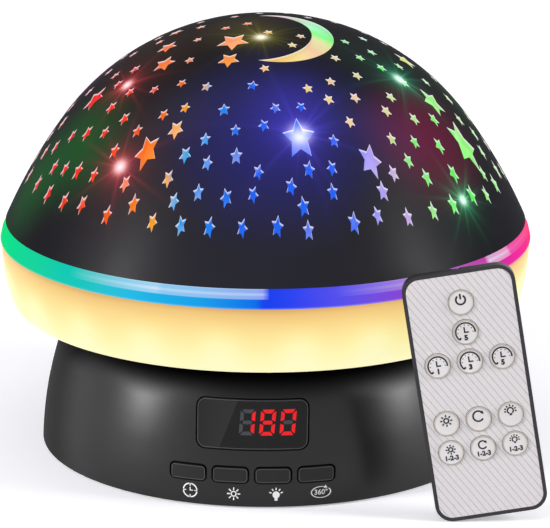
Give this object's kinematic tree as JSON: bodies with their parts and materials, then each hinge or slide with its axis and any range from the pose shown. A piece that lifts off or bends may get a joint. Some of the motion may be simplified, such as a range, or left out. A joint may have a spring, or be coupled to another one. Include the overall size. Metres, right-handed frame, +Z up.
{
  "type": "star night light projector",
  "caption": "Dome night light with star and moon cut-outs, glowing bowl, colour ring, display base with push buttons and a card remote.",
  "frame": {"origin": "centre of the ring foot's underside, on the surface the lamp stands on", "axes": "+Z up along the head's turning axis, -Y towards the side with the display"},
  "size_m": [0.1976, 0.192, 0.1558],
  "materials": {
    "black_housing": "fine satin moulded ABS",
    "base_cover": "matte moulded ABS",
    "foot_rubber": "soft matte rubber",
    "screw_steel": "plain bright screws",
    "smoked_window": "gloss smoked acrylic",
    "display_black": "potted LED display block",
    "receiver_black": "gloss infrared epoxy",
    "circuit_board": "green solder mask",
    "switch_black": "matte switch housing",
    "button_black": "satin button caps",
    "socket_metal": "stamped socket shell",
    "motor_metal": "zinc plated can",
    "shaft_steel": "ground shaft",
    "gear_acetal": "natural acetal",
    "washer_white": "low-friction plastic",
    "lamp_white": "white reflector plastic",
    "led_board": "white board with LEDs",
    "tray_black": "matte moulded ABS",
    "warm_glow": "milky plastic, lit warm from inside",
    "rainbow_ring": "glossy light guide, lit in rainbow colours",
    "colour_dome": "milky inner dome, lit in colours",
    "star_dome_black": "satin black moulded dome",
    "remote_case": "charcoal moulded case",
    "remote_face": "light grey printed film",
    "remote_key": "light key film, raised",
    "key_film": "clear dome sheet",
    "led_tinted": "tinted infrared LED",
    "cell_steel": "nickel plated cell"
  },
  "bodies": {
    "base": {"base_shell": "black_housing", "base_plate": "base_cover", "anti_slip_ring": "foot_rubber", "base_screws": "screw_steel", "display_window": "smoked_window", "display_module": "display_black", "ir_receiver": "receiver_black", "control_board": "circuit_board", "tact_switches": "switch_black", "power_board": "circuit_board", "usb_inlet": "socket_metal", "drive_motor": "motor_metal", "motor_screws": "screw_steel", "slide_washer": "washer_white", "hub_retainer": "tray_black", "retainer_screws": "screw_steel", "led_column": "lamp_white", "led_carrier": "lamp_white", "star_led_board": "led_board", "rgb_led_strip": "led_board", "warm_led_ring": "led_board"},
    "head": {"head_tray": "tray_black", "ring_gear": "gear_acetal", "head_screws": "screw_steel", "warm_diffuser": "warm_glow", "rgb_light_ring": "rainbow_ring", "inner_dome": "colour_dome", "star_dome": "star_dome_black"},
    "pinion": {"motor_shaft": "shaft_steel", "drive_pinion": "gear_acetal"},
    "timer_button": {"timer_button": "button_black"},
    "warm_light_button": {"warm_light_button": "button_black"},
    "star_light_button": {"star_light_button": "button_black"},
    "rotation_button": {"rotation_button": "button_black"},
    "remote": {"remote_front_case": "remote_case", "remote_back_case": "remote_case", "remote_overlay": "remote_face", "remote_board": "circuit_board", "key_sheet": "key_film", "remote_ir_led": "led_tinted", "coin_cell": "cell_steel"},
    "key_power": {"key_power": "remote_key"},
    "key_timer_short": {"key_timer_short": "remote_key"},
    "key_timer_1": {"key_timer_1": "remote_key"},
    "key_timer_2": {"key_timer_2": "remote_key"},
    "key_timer_3": {"key_timer_3": "remote_key"},
    "key_warm": {"key_warm": "remote_key"},
    "key_rotate": {"key_rotate": "remote_key"},
    "key_colour": {"key_colour": "remote_key"},
    "key_warm_level": {"key_warm_level": "remote_key"},
    "key_speed": {"key_speed": "remote_key"},
    "key_colour_level": {"key_colour_level": "remote_key"},
    "battery_cover": {"battery_cover": "remote_case"}
  },
  "joints": [
    {"name": "head_rotation", "type": "hinge", "parent": "base", "child": "head", "pos_m": [0, 0, 0.052], "axis": [0, 0, 1], "continuous": true},
    {"name": "pinion_spin", "type": "hinge", "parent": "base", "child": "pinion", "pos_m": [0, 0.045, 0.05], "axis": [0, 0, 1], "continuous": true},
    {"name": "timer_button_press", "type": "slide", "parent": "base", "child": "timer_button", "axis": [0, 1, 0], "range_m": [0, 0.0008], "stiffness_N_per_m": 300},
    {"name": "warm_light_button_press", "type": "slide", "parent": "base", "child": "warm_light_button", "axis": [0, 1, 0], "range_m": [0, 0.0008], "stiffness_N_per_m": 300},
    {"name": "star_light_button_press", "type": "slide", "parent": "base", "child": "star_light_button", "axis": [0, 1, 0], "range_m": [0, 0.0008], "stiffness_N_per_m": 300},
    {"name": "rotation_button_press", "type": "slide", "parent": "base", "child": "rotation_button", "axis": [0, 1, 0], "range_m": [0, 0.0008], "stiffness_N_per_m": 300},
    {"name": "remote_slide", "type": "slide", "parent": "base", "child": "remote", "axis": [0.6, -0.8, 0], "range_m": [0, 0.15]},
    {"name": "key_power_press", "type": "slide", "parent": "remote", "child": "key_power", "axis": [-0.0348, 0.9978, -0.0558], "range_m": [0, 0.0004], "stiffness_N_per_m": 300},
    {"name": "key_timer_short_press", "type": "slide", "parent": "remote", "child": "key_timer_short", "axis": [-0.0348, 0.9978, -0.0558], "range_m": [0, 0.0004], "stiffness_N_per_m": 300},
    {"name": "key_timer_1_press", "type": "slide", "parent": "remote", "child": "key_timer_1", "axis": [-0.0348, 0.9978, -0.0558], "range_m": [0, 0.0004], "stiffness_N_per_m": 300},
    {"name": "key_timer_2_press", "type": "slide", "parent": "remote", "child": "key_timer_2", "axis": [-0.0348, 0.9978, -0.0558], "range_m": [0, 0.0004], "stiffness_N_per_m": 300},
    {"name": "key_timer_3_press", "type": "slide", "parent": "remote", "child": "key_timer_3", "axis": [-0.0348, 0.9978, -0.0558], "range_m": [0, 0.0004], "stiffness_N_per_m": 300},
    {"name": "key_warm_press", "type": "slide", "parent": "remote", "child": "key_warm", "axis": [-0.0348, 0.9978, -0.0558], "range_m": [0, 0.0004], "stiffness_N_per_m": 300},
    {"name": "key_rotate_press", "type": "slide", "parent": "remote", "child": "key_rotate", "axis": [-0.0348, 0.9978, -0.0558], "range_m": [0, 0.0004], "stiffness_N_per_m": 300},
    {"name": "key_colour_press", "type": "slide", "parent": "remote", "child": "key_colour", "axis": [-0.0348, 0.9978, -0.0558], "range_m": [0, 0.0004], "stiffness_N_per_m": 300},
    {"name": "key_warm_level_press", "type": "slide", "parent": "remote", "child": "key_warm_level", "axis": [-0.0348, 0.9978, -0.0558], "range_m": [0, 0.0004], "stiffness_N_per_m": 300},
    {"name": "key_speed_press", "type": "slide", "parent": "remote", "child": "key_speed", "axis": [-0.0348, 0.9978, -0.0558], "range_m": [0, 0.0004], "stiffness_N_per_m": 300},
    {"name": "key_colour_level_press", "type": "slide", "parent": "remote", "child": "key_colour_level", "axis": [-0.0348, 0.9978, -0.0558], "range_m": [0, 0.0004], "stiffness_N_per_m": 300},
    {"name": "battery_cover_slide", "type": "slide", "parent": "remote", "child": "battery_cover", "axis": [0.1634, -0.0494, -0.9853], "range_m": [0, 0.005]}
  ],
  "couplings": [
    {"joint": "pinion_spin", "follows": "head_rotation", "ratio": 6}
  ]
}
